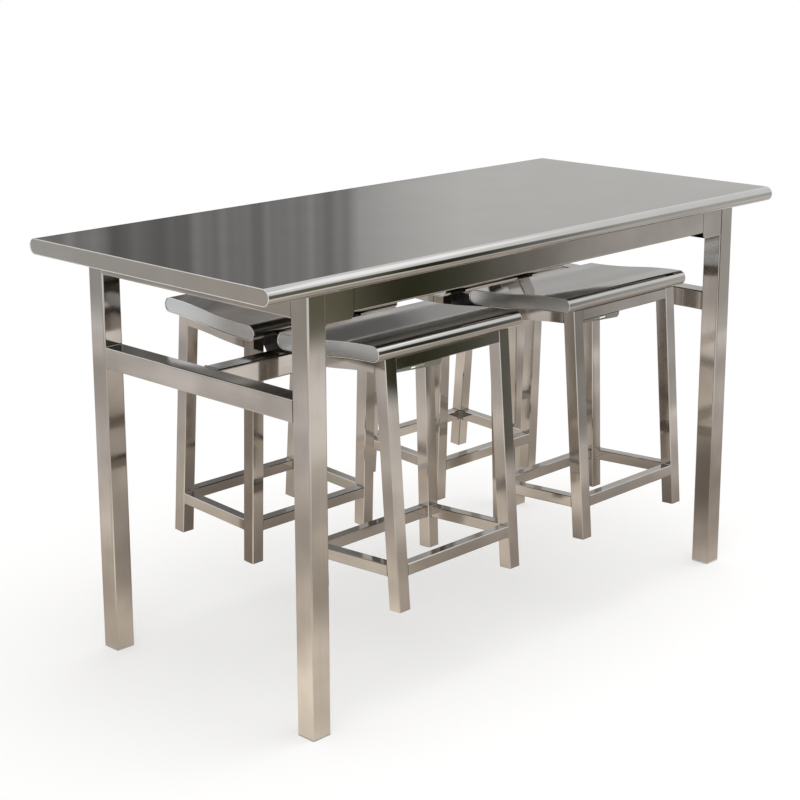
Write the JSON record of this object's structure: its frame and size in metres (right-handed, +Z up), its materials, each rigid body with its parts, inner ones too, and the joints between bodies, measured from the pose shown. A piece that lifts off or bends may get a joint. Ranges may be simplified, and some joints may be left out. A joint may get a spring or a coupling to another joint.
{
  "type": "canteen table with hung stools",
  "caption": "Long stainless steel canteen table with a half-round edged top, square tube legs and backless stools that hang on its centre beam clear of the floor and lift off.",
  "frame": {"origin": "on the floor under the middle of the table top", "axes": "+X along the table's length, +Y from the front to the back, +Z up"},
  "size_m": [1.31, 0.595, 0.75],
  "materials": {
    "top_steel": "polished stainless sheet",
    "seat_steel": "polished stainless sheet",
    "plate_steel": "satin stainless sheet",
    "tube_steel": "lengthwise brushed stainless",
    "stool_steel": "lengthwise brushed stainless",
    "socket_steel": "brushed stainless",
    "latch_steel": "satin stainless plate",
    "hook_coat": "steel plate dipped in black plastic",
    "core_board": "raw board",
    "plug_plastic": "matte"
  },
  "bodies": {
    "table": {"top_skin": "top_steel", "top_board": "core_board", "top_ends": "plate_steel", "leg_front_left": "tube_steel", "leg_front_right": "tube_steel", "leg_back_left": "tube_steel", "leg_back_right": "tube_steel", "leg_plugs": "plug_plastic", "apron_front": "tube_steel", "apron_back": "tube_steel", "apron_sockets": "socket_steel", "apron_tongues": "socket_steel", "end_aprons": "tube_steel", "mid_rails": "tube_steel", "centre_beam": "tube_steel"},
    "stool_front_left": {"stool_front_left_seat_skin": "seat_steel", "stool_front_left_seat_ends": "plate_steel", "stool_front_left_outer_legs": "stool_steel", "stool_front_left_inner_legs": "stool_steel", "stool_front_left_outer_rail": "stool_steel", "stool_front_left_inner_rail": "stool_steel", "stool_front_left_side_rails": "stool_steel", "stool_front_left_footrest": "stool_steel", "stool_front_left_foot_plugs": "plug_plastic", "stool_front_left_hooks": "hook_coat", "stool_front_left_latch": "latch_steel"},
    "stool_front_right": {"stool_front_right_seat_skin": "seat_steel", "stool_front_right_seat_ends": "plate_steel", "stool_front_right_outer_legs": "stool_steel", "stool_front_right_inner_legs": "stool_steel", "stool_front_right_outer_rail": "stool_steel", "stool_front_right_inner_rail": "stool_steel", "stool_front_right_side_rails": "stool_steel", "stool_front_right_footrest": "stool_steel", "stool_front_right_foot_plugs": "plug_plastic", "stool_front_right_hooks": "hook_coat", "stool_front_right_latch": "latch_steel"},
    "stool_back_left": {"stool_back_left_seat_skin": "seat_steel", "stool_back_left_seat_ends": "plate_steel", "stool_back_left_outer_legs": "stool_steel", "stool_back_left_inner_legs": "stool_steel", "stool_back_left_outer_rail": "stool_steel", "stool_back_left_inner_rail": "stool_steel", "stool_back_left_side_rails": "stool_steel", "stool_back_left_footrest": "stool_steel", "stool_back_left_foot_plugs": "plug_plastic", "stool_back_left_hooks": "hook_coat", "stool_back_left_latch": "latch_steel"},
    "stool_back_right": {"stool_back_right_seat_skin": "seat_steel", "stool_back_right_seat_ends": "plate_steel", "stool_back_right_outer_legs": "stool_steel", "stool_back_right_inner_legs": "stool_steel", "stool_back_right_outer_rail": "stool_steel", "stool_back_right_inner_rail": "stool_steel", "stool_back_right_side_rails": "stool_steel", "stool_back_right_footrest": "stool_steel", "stool_back_right_foot_plugs": "plug_plastic", "stool_back_right_hooks": "hook_coat", "stool_back_right_latch": "latch_steel"}
  },
  "joints": [
    {"name": "stool_front_left_lift", "type": "slide", "parent": "table", "child": "stool_front_left", "axis": [0, 0, 1], "range_m": [0, 0.03]},
    {"name": "stool_front_right_lift", "type": "slide", "parent": "table", "child": "stool_front_right", "axis": [0, 0, 1], "range_m": [0, 0.03]},
    {"name": "stool_back_left_lift", "type": "slide", "parent": "table", "child": "stool_back_left", "axis": [0, 0, 1], "range_m": [0, 0.03]},
    {"name": "stool_back_right_lift", "type": "slide", "parent": "table", "child": "stool_back_right", "axis": [0, 0, 1], "range_m": [0, 0.03]}
  ]
}
